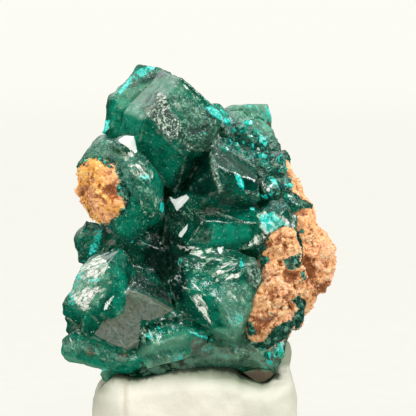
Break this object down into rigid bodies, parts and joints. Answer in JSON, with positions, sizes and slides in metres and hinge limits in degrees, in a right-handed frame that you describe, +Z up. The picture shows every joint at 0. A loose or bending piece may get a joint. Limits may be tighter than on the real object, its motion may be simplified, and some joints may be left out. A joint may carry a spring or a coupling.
{
  "type": "dioptase specimen",
  "caption": "Cluster of dark emerald green dioptase crystals with patches of ochre matrix, standing upright in a squarish pad of off-white mounting putty.",
  "frame": {"origin": "on the flat underside of the putty pad, under the middle of the specimen", "axes": "+Z up, along the specimen's height; -Y toward the side that the picture shows; +X to its right"},
  "size_m": [0.0262, 0.0202, 0.0358],
  "materials": {
    "crystal": "glassy, partly etched",
    "matrix": "rough, granular",
    "putty": "matte"
  },
  "bodies": {
    "root": {"crystal_cluster": "crystal", "matrix_back": "matrix", "matrix_front": "matrix", "matrix_left": "matrix", "mounting_putty": "putty"}
  },
  "joints": []
}
